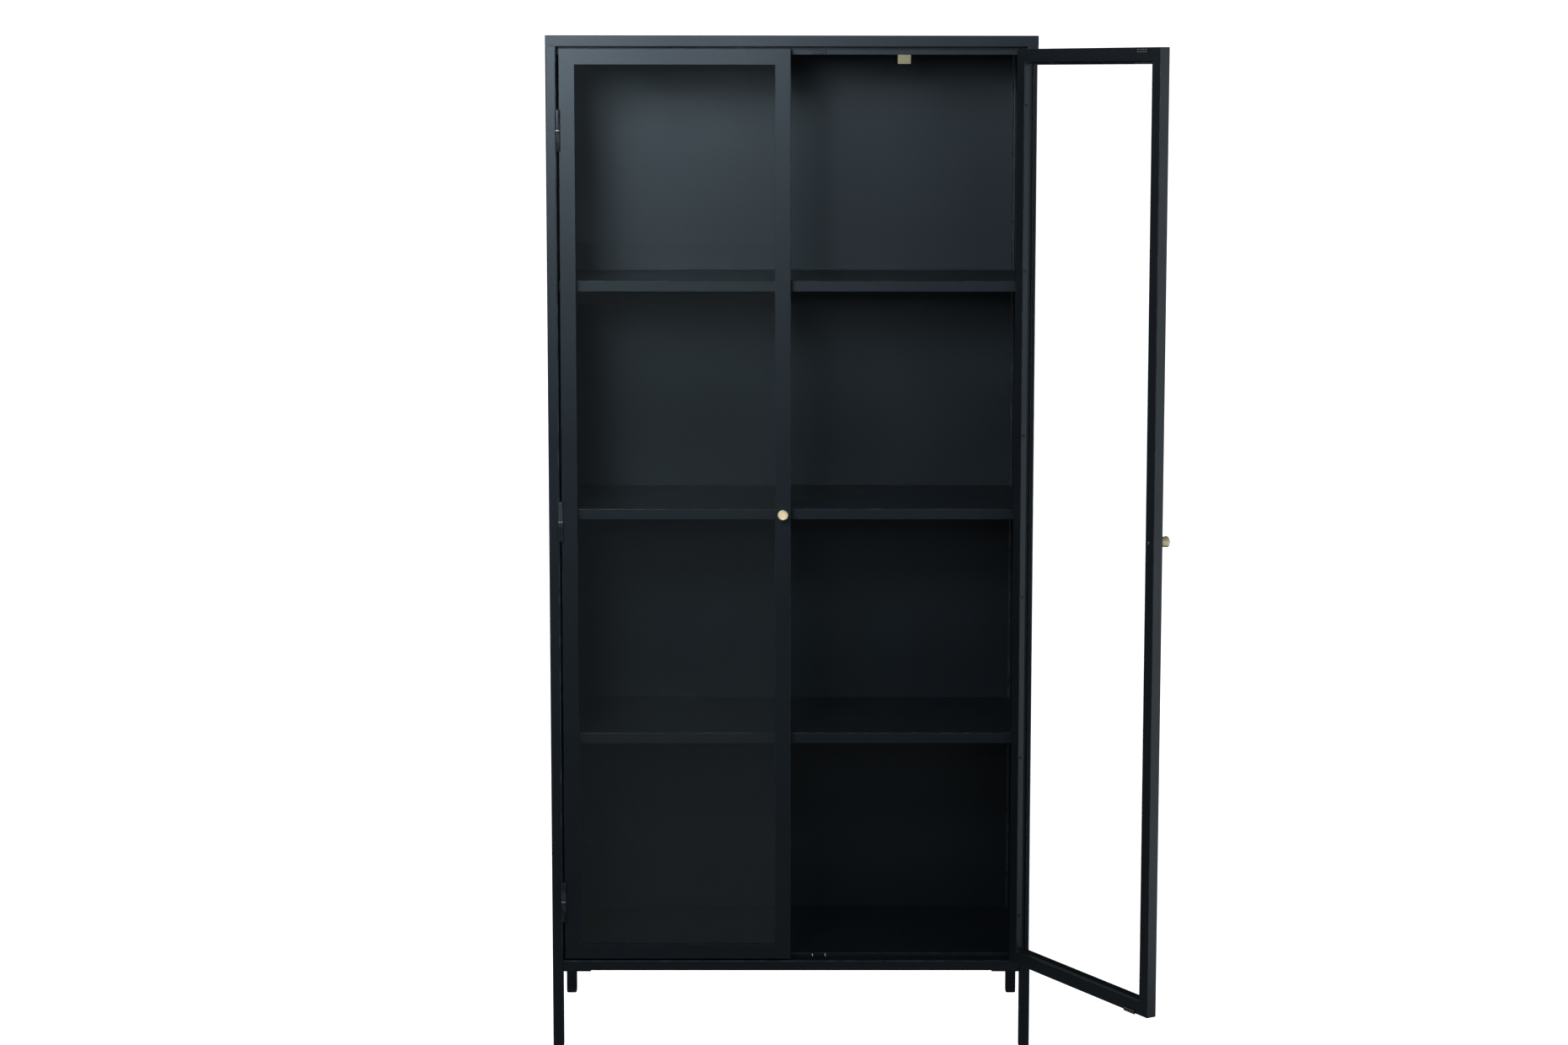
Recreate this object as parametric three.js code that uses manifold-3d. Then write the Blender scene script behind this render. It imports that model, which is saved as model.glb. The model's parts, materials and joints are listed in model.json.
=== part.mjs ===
// A tall metal display case with two glass doors, built as the pieces it is made of.
// Millimetres, +Z up. X = 0 and Y = 0 are the middle of the footprint, the floor is Z = 0,
// and the doors are at the front, towards -Y. The left door is shut and the right one stands open.
import * as THREE from "three";
import { mergeVertices } from "three/addons/utils/BufferGeometryUtils.js";
import Module from "manifold-3d";

const wasm = await Module();
wasm.setup();

// ---------------------------------------------------------------- driving dimensions
// The whole case
const WIDTH = 900;
const DEPTH = 380;
const HEIGHT = 1900;
const LEG_CLEARANCE = 150; // floor to the underside of the bottom rails
const SHEET = 1; // folded steel of the panels, shelves and trays
const FIT = 0.3; // gap kept between two pieces that touch
const ROUND_STEPS = 24; // sides of a turned piece

// Frame: square tube, rubber feet and the plates that tie its lower corners
const TUBE = 20;
const TUBE_WALL = 1.2;
const FOOT_HEIGHT = 8;
const FOOT_CHAMFER = 2;
const FOOT_PLUG = 15; // how far the foot's plug goes up the tube
const PLATE_THICKNESS = 1.5;
const PLATE_REACH = 52; // from the post along each rail
const PLATE_CUT = 34; // cut across the plate's inner corner
const PLATE_INSET = 1; // in from the rails' outer faces

// Top panel, walls, floor pan and door stop
const TOP_THICKNESS = 20;
const TOP_FLANGE = 44; // turned in under the top panel, all round
const SIDE_INSET = 4; // inner face of the post to inner face of the side panel
const BACK_INSET = 5; // front face of the rear post to front face of the back panel
const PAN_RISE = 8; // floor pan above the bottom rails
const STOP_DROP = 14; // height of the strip that the doors shut against
const STOP_DEPTH = 18;
const DOOR_CLEARANCE = 4; // back of a shut door to the fronts of the shelves, pan and stop strip

// Shelves
const SHELF_NAMES = ["lower", "middle", "upper"];
const SHELF_LIP = 20;

// Doors: hollow section with a thin lip that the glass lies behind
const DOOR_TUBE = 24;
const DOOR_LIP = 5;
const DOOR_DEPTH = 20;
const DOOR_WALL = 1.2;
const HINGE_GAP = 4; // post to door edge
const MEETING_GAP = 3; // between the two doors
const DOOR_GAP_TOP = 4;
const DOOR_GAP_BOTTOM = 3;
const GLASS_THICKNESS = 4;
const GLASS_SLACK = 0.5; // all round, between the glass and the door's section
const RIGHT_DOOR_OPEN = 121; // degrees from shut, as it stands

// Lift-off hinges: the lower half is on the post and carries the pin, the upper half is on the door
const HINGE_LENGTH = 76;
const BARREL_RADIUS = 4.6;
const BARREL_CHAMFER = 0.8;
const COLLAR_LIP = 0.2; // collar proud of the barrel
const COLLAR_THICKNESS = 2;
const PIN_RADIUS = 3;
const PIN_REACH = 28; // above the collar
const PIN_CHAMFER = 0.8;
const BORE_SPARE = 2; // bore beyond the end of the pin
const BARREL_SUNK = 1.6; // how far a barrel reaches behind the posts' front faces
const HINGE_FROM_TOP = 149; // door top to the middle of the top hinge
const HINGE_FROM_BOTTOM = 111; // door bottom to the middle of the bottom hinge

// Knobs and the screws that hold them
const KNOB_HEIGHT = 1020;
const KNOB_BASE_RADIUS = 7.8;
const KNOB_END_RADIUS = 10;
const KNOB_LENGTH = 20;
const KNOB_ROUND = 1.2;
const SCREW_RADIUS = 2;
const SCREW_CLEARANCE = 0.4;
const SCREW_IN_KNOB = 12;
const SCREW_HEAD_RADIUS = 4;
const SCREW_HEAD_HEIGHT = 2.2;
const SCREW_HEAD_ROUND = 0.6;

// Magnetic catches and their strikes
const CATCH_FROM_MIDDLE = 52; // middle of the case to the middle of the catch
const CATCH_WIDTH = 24;
const CATCH_HEIGHT = 5;
const CATCH_DEPTH = 12;
const STRIKE_WIDTH = 33;
const STRIKE_HEIGHT = 8;
const STRIKE_THICKNESS = 1.2;
const BOTTOM_STRIKE_LIFT = 1.5; // bottom strike above its catch, so that it passes over the rail
const TOP_CATCH_DROP = 10; // underside of the top panel to the middle of the top catches
const BOTTOM_CATCH_DROP = 4; // face of the floor pan to the middle of the bottom catches

// Brass tag behind the stop strip
const TAG_X = 206;
const TAG_WIDTH = 24;
const TAG_HANG = 17; // below the strip
const TAG_OVERLAP = 10; // behind the strip
const TAG_THICKNESS = 1;

// ---------------------------------------------------------------- derived places
const sideX = WIDTH / 2;
const postX = sideX - TUBE; // inner faces of the posts
const frontY = -DEPTH / 2;
const rearY = DEPTH / 2;
const postFrontY = frontY + TUBE; // rear faces of the front posts
const postRearY = rearY - TUBE; // front faces of the rear posts
const railTop = LEG_CLEARANCE + TUBE;
const panTop = railTop + PAN_RISE;
const topUnderside = HEIGHT - TOP_THICKNESS;
const innerFrontY = frontY + DOOR_DEPTH + DOOR_CLEARANCE;
const catchFaceY = frontY + DOOR_DEPTH + STRIKE_THICKNESS + 2 * FIT;
const sidePanelX = postX + SIDE_INSET;
const backPanelY = postRearY + BACK_INSET;
const stopBottom = topUnderside - FIT - STOP_DROP;

const doorBottom = railTop + DOOR_GAP_BOTTOM;
const doorTop = topUnderside - DOOR_GAP_TOP;
const doorHeight = doorTop - doorBottom;
const doorWidth = postX - HINGE_GAP - MEETING_GAP / 2;
const doorFace = DOOR_TUBE + DOOR_LIP;

const axisX = postX - HINGE_GAP / 2;
const axisProud = BARREL_RADIUS - BARREL_SUNK; // hinge axis in front of the posts' front faces
const axisY = frontY - axisProud;
const doorEdge = HINGE_GAP / 2; // hinge axis to the door's edge
const collarRadius = BARREL_RADIUS + COLLAR_LIP;
const hingeSeatRadius = collarRadius + FIT;
const topHinge = doorTop - HINGE_FROM_TOP;
const bottomHinge = doorBottom + HINGE_FROM_BOTTOM;
const hingeHeights = {
  top: topHinge,
  middle: (topHinge + bottomHinge) / 2,
  bottom: bottomHinge,
};

const shelfPitch = (doorTop - panTop) / (SHELF_NAMES.length + 1);
const catchHeights = { top: topUnderside - TOP_CATCH_DROP, bottom: panTop - BOTTOM_CATCH_DROP };

// ---------------------------------------------------------------- materials
const paint = (name) => finish(name, 0x1d2329, 0.5, 0.25);
const finishes = {
  frame: paint("frame_paint"),
  panel: paint("panel_paint"),
  door: paint("door_paint"),
  hinge: paint("hinge_paint"),
  rubber: finish("foot_rubber", 0x161616, 0.85, 0),
  brass: finish("brass", 0xc9b183, 0.35, 1),
  steel: finish("screw_steel", 0x3a3d40, 0.4, 1),
  strike: finish("strike_steel", 0x6d7074, 0.45, 1),
  plastic: finish("catch_plastic", 0x191a1c, 0.6, 0),
  glass: new THREE.MeshStandardMaterial({
    name: "glass",
    color: 0xe9f0ee,
    roughness: 0.03,
    metalness: 0,
    transparent: true,
    opacity: 0.2,
  }),
};

function finish(name, color, roughness, metalness) {
  return new THREE.MeshStandardMaterial({ name, color, roughness, metalness });
}

// ---------------------------------------------------------------- shape helpers
// A block between two corners.
function block(x0, x1, y0, y1, z0, z1) {
  const shape = new THREE.BoxGeometry(x1 - x0, y1 - y0, z1 - z0);
  return shape.translate((x0 + x1) / 2, (y0 + y1) / 2, (z0 + z1) / 2);
}

// The corners of a rectangle in the order that an outline needs.
function rectangle(x0, x1, y0, y1) {
  return [[x0, y0], [x1, y0], [x1, y1], [x0, y1]];
}

// A prism that stands on Z = 0, from an outline and an optional hole.
function prism(outline, height, hole) {
  const corner = ([x, y]) => new THREE.Vector2(x, y);
  const shape = new THREE.Shape(outline.map(corner));
  if (hole) {
    shape.holes.push(new THREE.Path(hole.map(corner)));
  }
  return new THREE.ExtrudeGeometry(shape, { depth: height, bevelEnabled: false });
}

// A prism whose outline lies in the Y-Z plane and which runs along X between two places.
function prismAlongX(outline, x0, x1) {
  const alongX = new THREE.Matrix4().makeBasis(
    new THREE.Vector3(0, 1, 0),
    new THREE.Vector3(0, 0, 1),
    new THREE.Vector3(1, 0, 0),
  );
  return prism(outline, x1 - x0).applyMatrix4(alongX).translate(x0, 0, 0);
}

// A turned piece about the Z axis, from [radius, height] points that go up its outside.
function turned(points, sides = ROUND_STEPS) {
  const profile = points.map(([radius, height]) => new THREE.Vector2(radius, height));
  return new THREE.LatheGeometry(profile, sides).rotateX(Math.PI / 2);
}

// A piece with a turned piece's profile and a square plan: half widths in place of radii.
function turnedSquare(points) {
  const corners = points.map(([half, height]) => [half * Math.SQRT2, height]);
  return turned(corners, 4).rotateZ(Math.PI / 4);
}

// A round rod along Z between two heights.
function rod(radius, x, y, z0, z1) {
  const shape = new THREE.CylinderGeometry(radius, radius, z1 - z0, ROUND_STEPS);
  return shape.rotateX(Math.PI / 2).translate(x, y, (z0 + z1) / 2);
}

// The same shape on the other side of X = 0.
function mirrored(shape) {
  const copy = shape.index ? shape.toNonIndexed() : shape.clone();
  const points = copy.attributes.position;
  for (let i = 0; i < points.count; i += 3) {
    const corners = [0, 2, 1].map((k) => new THREE.Vector3().fromBufferAttribute(points, i + k));
    corners.forEach((p, k) => points.setXYZ(i + k, -p.x, p.y, p.z));
  }
  return copy;
}

// A geometry as a solid that can be cut and joined.
function solid(shape) {
  const bare = shape.clone();
  bare.deleteAttribute("normal");
  bare.deleteAttribute("uv");
  const welded = mergeVertices(bare);
  const vertProperties = new Float32Array(welded.attributes.position.array);
  const triVerts = new Uint32Array(welded.index.array);
  return new wasm.Manifold(new wasm.Mesh({ numProp: 3, vertProperties, triVerts }));
}

// A solid as a geometry again.
function shapeOf(body) {
  const { vertProperties, triVerts } = body.getMesh();
  const shape = new THREE.BufferGeometry();
  shape.setAttribute("position", new THREE.BufferAttribute(vertProperties, 3));
  shape.setIndex(new THREE.BufferAttribute(triVerts, 1));
  return shape;
}

// A shape with other shapes cut out of it.
function cut(shape, ...tools) {
  return shapeOf(tools.reduce((body, tool) => body.subtract(solid(tool)), solid(shape)));
}

function join(shape, other) {
  return shapeOf(solid(shape).add(solid(other)));
}

// ---------------------------------------------------------------- the three bodies
const SIDES = ["left", "right"];
const carcass = new THREE.Group();
const doors = { left: new THREE.Group(), right: new THREE.Group() };
doors.left.position.set(-axisX, axisY, 0);
doors.right.position.set(axisX, axisY, 0);
doors.right.rotation.z = THREE.MathUtils.degToRad(RIGHT_DOOR_OPEN);

function add(group, name, shape, material) {
  const mesh = new THREE.Mesh(shape, material);
  mesh.name = name;
  group.add(mesh);
}

// Every shape is drawn for the left side, and turned over for the right.
function forSide(side, shape) {
  return side === "left" ? shape : mirrored(shape);
}

function addCarcassPair(name, shape, material) {
  SIDES.forEach((side) => add(carcass, `${name}_${side}`, forSide(side, shape), material));
}

function addDoorPair(name, shape, material) {
  SIDES.forEach((side) => add(doors[side], `${side}_${name}`, forSide(side, shape), material));
}

// ---------------------------------------------------------------- frame
// Square tube along Z from 0, centred on the axis.
function squareTube(length) {
  const half = TUBE / 2;
  const bore = half - TUBE_WALL;
  return prism(rectangle(-half, half, -half, half), length, rectangle(-bore, bore, -bore, bore));
}

// Scoops that the hinge barrels sit in, about an axis at x, y.
function hingeSeats(x, y) {
  const reach = HINGE_LENGTH / 2 + FIT;
  return Object.values(hingeHeights).map((z) => rod(hingeSeatRadius, x, y, z - reach, z + reach));
}

function addPosts() {
  const bottom = FOOT_HEIGHT + FIT;
  const length = topUnderside - FIT - bottom;
  const x = -(sideX - TUBE / 2);
  const front = squareTube(length).translate(x, frontY + TUBE / 2, bottom);
  const rear = squareTube(length).translate(x, rearY - TUBE / 2, bottom);
  addCarcassPair("post_front", cut(front, ...hingeSeats(-axisX, axisY)), finishes.frame);
  addCarcassPair("post_rear", rear, finishes.frame);
}

// Rubber foot: a square pad with a chamfered lower edge and a plug that goes up the tube.
function addFeet() {
  const half = TUBE / 2;
  const plug = half - TUBE_WALL - FIT;
  const foot = () => turnedSquare([
    [0, 0],
    [half - FOOT_CHAMFER, 0],
    [half, FOOT_CHAMFER],
    [half, FOOT_HEIGHT],
    [plug, FOOT_HEIGHT],
    [plug, FOOT_HEIGHT + FOOT_PLUG],
    [0, FOOT_HEIGHT + FOOT_PLUG],
  ]);
  const x = -(sideX - half);
  addCarcassPair("foot_front", foot().translate(x, frontY + half, 0), finishes.rubber);
  addCarcassPair("foot_rear", foot().translate(x, rearY - half, 0), finishes.rubber);
}

function addBottomRails() {
  const z = LEG_CLEARANCE + TUBE / 2;
  const long = 2 * (postX - FIT);
  const short = 2 * (postRearY - FIT);
  const alongX = () => squareTube(long).translate(0, 0, -long / 2).rotateY(Math.PI / 2);
  const alongY = squareTube(short).translate(0, 0, -short / 2).rotateX(Math.PI / 2);
  add(carcass, "bottom_rail_front", alongX().translate(0, frontY + TUBE / 2, z), finishes.frame);
  add(carcass, "bottom_rail_rear", alongX().translate(0, rearY - TUBE / 2, z), finishes.frame);
  addCarcassPair("bottom_rail", alongY.translate(-(sideX - TUBE / 2), 0, z), finishes.frame);
}

// Flat plate under a lower corner, notched round the post and cut across inside.
function cornerPlate() {
  const postSide = -(postX - FIT);
  const postBack = postFrontY + FIT;
  const reachX = -(postX - PLATE_REACH);
  const reachY = postFrontY + PLATE_REACH;
  const outline = [
    [postSide, frontY + PLATE_INSET],
    [reachX, frontY + PLATE_INSET],
    [reachX, reachY - PLATE_CUT],
    [reachX - PLATE_CUT, reachY],
    [-(sideX - PLATE_INSET), reachY],
    [-(sideX - PLATE_INSET), postBack],
    [postSide, postBack],
  ];
  return prism(outline, PLATE_THICKNESS).translate(0, 0, LEG_CLEARANCE - FIT - PLATE_THICKNESS);
}

function addCornerPlates() {
  const rear = mirrored(cornerPlate().rotateZ(Math.PI));
  addCarcassPair("corner_plate_front", cornerPlate(), finishes.frame);
  addCarcassPair("corner_plate_rear", rear, finishes.frame);
}

// ---------------------------------------------------------------- panels, pan and shelves
// Top panel: folded down all round, then turned in under itself.
function addTopPanel() {
  const inX = sideX - SHEET;
  const inY = rearY - SHEET;
  const mouthX = sideX - TOP_FLANGE;
  const mouthY = rearY - TOP_FLANGE;
  const inside = topUnderside + SHEET;
  const outer = block(-sideX, sideX, frontY, rearY, topUnderside, HEIGHT);
  const hollow = block(-inX, inX, -inY, inY, inside, HEIGHT - SHEET);
  const mouth = block(-mouthX, mouthX, -mouthY, mouthY, topUnderside - SHEET, inside + SHEET);
  add(carcass, "top_panel", cut(outer, hollow, mouth), finishes.panel);
}

function addWalls() {
  const low = railTop + FIT;
  const high = topUnderside - FIT;
  const sideEnd = postRearY - FIT;
  const backEnd = postX - FIT;
  const side = block(-sidePanelX - SHEET, -sidePanelX, -sideEnd, sideEnd, low, high);
  const back = block(-backEnd, backEnd, backPanelY, backPanelY + SHEET, low, high);
  addCarcassPair("side_panel", side, finishes.panel);
  add(carcass, "back_panel", back, finishes.panel);
}

// Plan of a shelf or of the floor pan, with its rear corners notched round the rear posts.
function shelfPlan(inset) {
  const wide = sidePanelX - FIT - inset;
  const narrow = postX - FIT - inset;
  const front = innerFrontY + inset;
  const notch = postRearY - FIT - inset;
  const back = backPanelY - FIT - inset;
  return [
    [-wide, front], [wide, front], [wide, notch], [narrow, notch],
    [narrow, back], [-narrow, back], [-narrow, notch], [-wide, notch],
  ];
}

// A sheet of that plan, folded down on every side and open below.
function tray(bottom, top) {
  const outer = prism(shelfPlan(0), top - bottom).translate(0, 0, bottom);
  const hollow = prism(shelfPlan(SHEET), top - bottom).translate(0, 0, bottom - SHEET);
  return cut(outer, hollow);
}

function addShelves() {
  SHELF_NAMES.forEach((name, i) => {
    const top = panTop + (i + 1) * shelfPitch;
    add(carcass, `shelf_${name}`, tray(top - SHELF_LIP, top), finishes.panel);
  });
}

// Windows that the faces of the two catches show through.
function catchWindows(z) {
  const wide = CATCH_WIDTH / 2 + FIT;
  const tall = CATCH_HEIGHT / 2 + FIT;
  return [-CATCH_FROM_MIDDLE, CATCH_FROM_MIDDLE].map((x) =>
    block(x - wide, x + wide, innerFrontY - SHEET, innerFrontY + 2 * SHEET, z - tall, z + tall));
}

// Floor pan: lies on the bottom rails, with an apron behind the front one.
function addFloorPan() {
  const end = postX - FIT;
  const apron = block(-end, end, innerFrontY, innerFrontY + SHEET, LEG_CLEARANCE, panTop - SHEET / 2);
  const pan = join(tray(railTop + FIT, panTop), apron);
  add(carcass, "floor_pan", cut(pan, ...catchWindows(catchHeights.bottom)), finishes.panel);
}

// Angle strip under the top panel that the doors shut against.
function addStopStrip() {
  const front = innerFrontY;
  const top = topUnderside - FIT;
  const outline = [
    [front, stopBottom],
    [front + SHEET, stopBottom],
    [front + SHEET, top - SHEET],
    [front + STOP_DEPTH, top - SHEET],
    [front + STOP_DEPTH, top],
    [front, top],
  ];
  const end = sidePanelX - FIT;
  const strip = prismAlongX(outline, -end, end);
  add(carcass, "door_stop_strip", cut(strip, ...catchWindows(catchHeights.top)), finishes.panel);
}

// Brass tag fixed behind the stop strip and hanging below it.
function addTag() {
  const y = innerFrontY + SHEET + FIT;
  const half = TAG_WIDTH / 2;
  const tag = block(
    TAG_X - half, TAG_X + half, y, y + TAG_THICKNESS, stopBottom - TAG_HANG, stopBottom + TAG_OVERLAP,
  );
  add(carcass, "brass_tag", tag, finishes.brass);
}

function addCatches() {
  const half = CATCH_WIDTH / 2;
  const x = -CATCH_FROM_MIDDLE;
  Object.entries(catchHeights).forEach(([place, z]) => {
    const low = z - CATCH_HEIGHT / 2;
    const high = z + CATCH_HEIGHT / 2;
    const body = block(x - half, x + half, catchFaceY, catchFaceY + CATCH_DEPTH, low, high);
    addCarcassPair(`catch_${place}`, body, finishes.plastic);
  });
}

// ---------------------------------------------------------------- hinges
// Lower half: barrel, bright collar and pin, about its own axis.
function hingeLower() {
  const end = -HINGE_LENGTH / 2;
  const collar = COLLAR_THICKNESS / 2;
  return turned([
    [0, end],
    [BARREL_RADIUS - BARREL_CHAMFER, end],
    [BARREL_RADIUS, end + BARREL_CHAMFER],
    [BARREL_RADIUS, -collar],
    [collarRadius, -collar],
    [collarRadius, collar],
    [PIN_RADIUS, collar],
    [PIN_RADIUS, collar + PIN_REACH - PIN_CHAMFER],
    [PIN_RADIUS - PIN_CHAMFER, collar + PIN_REACH],
    [0, collar + PIN_REACH],
  ]);
}

// Upper half: a barrel with a blind bore that drops over the pin.
function hingeUpper() {
  const end = HINGE_LENGTH / 2;
  const mouth = COLLAR_THICKNESS / 2 + FIT;
  const ceiling = COLLAR_THICKNESS / 2 + PIN_REACH + BORE_SPARE;
  return turned([
    [0, ceiling],
    [PIN_RADIUS + FIT, ceiling],
    [PIN_RADIUS + FIT, mouth],
    [BARREL_RADIUS, mouth],
    [BARREL_RADIUS, end - BARREL_CHAMFER],
    [BARREL_RADIUS - BARREL_CHAMFER, end],
    [0, end],
  ]);
}

function addHinges() {
  Object.entries(hingeHeights).forEach(([place, z]) => {
    const lower = hingeLower().translate(-axisX, axisY, z);
    addCarcassPair(`hinge_lower_${place}`, lower, finishes.hinge);
    addDoorPair(`hinge_upper_${place}`, hingeUpper().translate(0, 0, z), finishes.hinge);
  });
}

// ---------------------------------------------------------------- doors
// The left door is drawn about its hinge axis: X runs from the axis to the free edge, and Y inwards.
const doorStart = doorEdge;
const doorEnd = doorEdge + doorWidth;
const doorFront = axisProud;
const doorBack = doorFront + DOOR_DEPTH;
const knobX = doorEnd - doorFace / 2;

// One mitred member. Its section runs in from the door's outer edge and back from its face.
function doorMember(inward, along, corner, length) {
  const outline = [
    [0, 0],
    [doorFace, 0],
    [doorFace, DOOR_WALL],
    [DOOR_TUBE, DOOR_WALL],
    [DOOR_TUBE, DOOR_DEPTH],
    [0, DOOR_DEPTH],
  ];
  const bore = rectangle(DOOR_WALL, DOOR_TUBE - DOOR_WALL, DOOR_WALL, DOOR_DEPTH - DOOR_WALL);
  const member = prism(outline, length, bore);
  const points = member.attributes.position;
  const seam = FIT / Math.SQRT2; // each mitred end stands back half the gap
  for (let i = 0; i < points.count; i += 1) {
    const back = points.getX(i) + seam;
    points.setZ(i, points.getZ(i) < length / 2 ? back : length - back);
  }
  const backwards = new THREE.Vector3(0, 1, 0);
  return member.applyMatrix4(new THREE.Matrix4().makeBasis(inward, backwards, along).setPosition(corner));
}

function addDoorFrames() {
  const right = new THREE.Vector3(1, 0, 0);
  const left = new THREE.Vector3(-1, 0, 0);
  const up = new THREE.Vector3(0, 0, 1);
  const down = new THREE.Vector3(0, 0, -1);
  const corner = (x, z) => new THREE.Vector3(x, doorFront, z);
  const hingeStile = doorMember(right, up, corner(doorStart, doorBottom), doorHeight);
  const meetingStile = doorMember(left, down, corner(doorEnd, doorTop), doorHeight);
  const topRail = doorMember(down, right, corner(doorStart, doorTop), doorWidth);
  const bottomRail = doorMember(up, left, corner(doorEnd, doorBottom), doorWidth);
  const screwHole = rod(SCREW_RADIUS + SCREW_CLEARANCE, 0, 0, -doorBack - FIT, FIT - doorFront);
  screwHole.rotateX(Math.PI / 2).translate(knobX, 0, KNOB_HEIGHT);
  addDoorPair("door_hinge_stile", cut(hingeStile, ...hingeSeats(0, 0)), finishes.door);
  addDoorPair("door_meeting_stile", cut(meetingStile, screwHole), finishes.door);
  addDoorPair("door_top_rail", topRail, finishes.door);
  addDoorPair("door_bottom_rail", bottomRail, finishes.door);
}

function addGlass() {
  const inset = DOOR_TUBE + GLASS_SLACK;
  const front = doorFront + DOOR_WALL + FIT;
  const pane = block(
    doorStart + inset, doorEnd - inset, front, front + GLASS_THICKNESS, doorBottom + inset, doorTop - inset,
  );
  addDoorPair("door_glass", pane, finishes.glass);
}

// Knob: a plain taper, wider at its free end, with a blind hole for its screw.
function addKnobs() {
  const hole = SCREW_RADIUS + SCREW_CLEARANCE;
  const knob = turned([
    [0, SCREW_IN_KNOB + FIT],
    [hole, SCREW_IN_KNOB + FIT],
    [hole, 0],
    [KNOB_BASE_RADIUS, 0],
    [KNOB_END_RADIUS, KNOB_LENGTH - KNOB_ROUND],
    [KNOB_END_RADIUS - KNOB_ROUND, KNOB_LENGTH],
    [0, KNOB_LENGTH],
  ]);
  knob.rotateX(Math.PI / 2).translate(knobX, doorFront - FIT, KNOB_HEIGHT);
  addDoorPair("door_knob", knob, finishes.brass);
}

// Screw from behind the stile into the knob.
function addKnobScrews() {
  const shankEnd = SCREW_HEAD_HEIGHT + FIT + DOOR_DEPTH + SCREW_IN_KNOB;
  const screw = turned([
    [0, 0],
    [SCREW_HEAD_RADIUS - SCREW_HEAD_ROUND, 0],
    [SCREW_HEAD_RADIUS, SCREW_HEAD_ROUND],
    [SCREW_HEAD_RADIUS, SCREW_HEAD_HEIGHT],
    [SCREW_RADIUS, SCREW_HEAD_HEIGHT],
    [SCREW_RADIUS, shankEnd],
    [0, shankEnd],
  ]);
  screw.rotateX(Math.PI / 2).translate(knobX, doorBack + FIT + SCREW_HEAD_HEIGHT, KNOB_HEIGHT);
  addDoorPair("door_knob_screw", screw, finishes.steel);
}

// Strike plates on the backs of the door's rails, facing the catches.
function addStrikes() {
  const x = axisX - CATCH_FROM_MIDDLE;
  const plate = block(
    x - STRIKE_WIDTH / 2, x + STRIKE_WIDTH / 2, doorBack + FIT, doorBack + FIT + STRIKE_THICKNESS,
    -STRIKE_HEIGHT / 2, STRIKE_HEIGHT / 2,
  );
  const top = plate.clone().translate(0, 0, catchHeights.top);
  const bottom = plate.translate(0, 0, catchHeights.bottom + BOTTOM_STRIKE_LIFT);
  addDoorPair("door_strike_top", top, finishes.strike);
  addDoorPair("door_strike_bottom", bottom, finishes.strike);
}

// ---------------------------------------------------------------- the display case
addPosts();
addFeet();
addBottomRails();
addCornerPlates();
addTopPanel();
addWalls();
addFloorPan();
addStopStrip();
addShelves();
addTag();
addCatches();
addHinges();
addDoorFrames();
addGlass();
addKnobs();
addKnobScrews();
addStrikes();

const displayCase = new THREE.Group();
displayCase.add(carcass, doors.left, doors.right);
displayCase.updateMatrixWorld(true);

export default displayCase;
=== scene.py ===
# %% [markdown]
# # A tall display case with two glass doors
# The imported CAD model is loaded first. It is a fixed frame: every piece below takes its
# place from a CAD node's box, rides on a CAD body, and stands for the nodes that it replaces.

# %% Load the case
import json
import math
import bmesh
import bpy
from mathutils import Matrix, Vector


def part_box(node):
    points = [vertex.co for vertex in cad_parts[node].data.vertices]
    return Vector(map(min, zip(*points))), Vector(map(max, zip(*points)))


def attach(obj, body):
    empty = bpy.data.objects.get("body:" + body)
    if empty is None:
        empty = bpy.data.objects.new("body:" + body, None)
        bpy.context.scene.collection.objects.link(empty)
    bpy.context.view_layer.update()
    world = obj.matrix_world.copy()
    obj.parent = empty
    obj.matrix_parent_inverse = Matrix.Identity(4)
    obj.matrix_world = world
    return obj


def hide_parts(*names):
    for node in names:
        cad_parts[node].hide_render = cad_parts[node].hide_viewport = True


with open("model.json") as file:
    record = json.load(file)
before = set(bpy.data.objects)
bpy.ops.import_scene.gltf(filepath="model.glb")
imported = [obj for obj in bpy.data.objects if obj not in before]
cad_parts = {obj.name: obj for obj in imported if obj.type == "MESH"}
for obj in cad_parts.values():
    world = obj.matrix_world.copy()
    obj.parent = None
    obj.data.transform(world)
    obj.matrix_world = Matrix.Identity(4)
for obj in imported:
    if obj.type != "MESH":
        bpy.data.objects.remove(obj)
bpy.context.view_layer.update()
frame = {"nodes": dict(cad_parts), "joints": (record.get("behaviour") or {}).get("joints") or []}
MM = 0.001

# %% [markdown]
# ## The viewpoint
# The case is seen from the front at eye height, a good way back. The camera tilts down a little
# and its lens is shifted a little, so that the case fills the frame. A level camera with over six
# times the lens shift would keep the uprights parallel, but the shift stays with the camera when
# it moves to another side, and there it would push the top of the case out of sight. With this
# tilt the posts lean by about half a degree, and the edge of the open door by almost one.

# %% Camera
STAND_OFF = 5.76  # metres from the doors
EYE_HEIGHT = 1.819
TILT_DOWN = 6.8  # degrees
case_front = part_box("top_panel")[0].y
camera = bpy.data.objects.new("camera", bpy.data.cameras.new("camera"))
bpy.context.scene.collection.objects.link(camera)
bpy.context.scene.camera = camera
camera.location = (-0.0024, case_front - STAND_OFF, EYE_HEIGHT)
camera.rotation_euler = (math.radians(90 - TILT_DOWN), -0.0010, -0.0035)
camera.data.sensor_width = 36
camera.data.lens = 72.0
camera.data.shift_x = -0.0112
camera.data.shift_y = -0.0437
camera.data.clip_end = 100
print("camera stands", round(case_front - camera.location.y, 2), "m in front of the case")

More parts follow.
